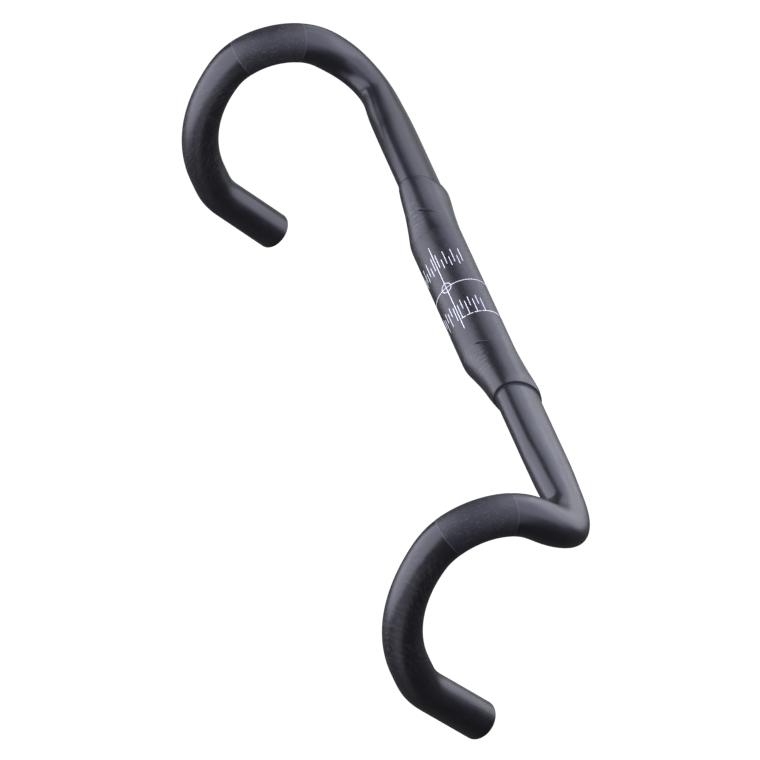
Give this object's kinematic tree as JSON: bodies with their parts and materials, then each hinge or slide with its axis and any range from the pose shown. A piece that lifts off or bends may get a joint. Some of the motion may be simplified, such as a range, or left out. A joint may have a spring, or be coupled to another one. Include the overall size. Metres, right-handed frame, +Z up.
{
  "type": "drop handlebar",
  "caption": "Compact road drop handlebar in matte carbon: round clamp centre with printed alignment marks, flattened tops, curved hooks and open drop ends.",
  "frame": {"origin": "centre of the stem clamp, on the clamp axis", "axes": "+X along the clamp axis to the rider's left, forward is -Y, +Z up with the ramps and drops about level"},
  "size_m": [0.4404, 0.1463, 0.1515],
  "materials": {
    "ud_carbon": "matte unidirectional carbon laminate with faint fibre streaks",
    "grip_coating": "fine speckled anti-slip grit over carbon",
    "epoxy": "black structural epoxy",
    "mark_ink": "thin white screen-printed ink"
  },
  "bodies": {
    "root": {"centre_sleeve": "ud_carbon", "left_tops_tube": "ud_carbon", "left_shoulder_tube": "ud_carbon", "left_ramp_tube": "ud_carbon", "left_lever_seat_tube": "ud_carbon", "left_upper_hook_tube": "ud_carbon", "left_lower_hook_tube": "ud_carbon", "left_drop_bend_tube": "ud_carbon", "left_drop_end_tube": "ud_carbon", "right_tops_tube": "ud_carbon", "right_shoulder_tube": "ud_carbon", "right_ramp_tube": "ud_carbon", "right_lever_seat_tube": "ud_carbon", "right_upper_hook_tube": "ud_carbon", "right_lower_hook_tube": "ud_carbon", "right_drop_bend_tube": "ud_carbon", "right_drop_end_tube": "ud_carbon", "clamp_grip_coating": "grip_coating", "left_lever_grip_band": "grip_coating", "right_lever_grip_band": "grip_coating", "left_bond_layer": "epoxy", "right_bond_layer": "epoxy", "centre_target_mark": "mark_ink", "clamp_axis_mark": "mark_ink", "centre_ring_mark": "mark_ink", "side_ring_mark": "mark_ink", "tilt_scale_marks": "mark_ink"}
  },
  "joints": []
}
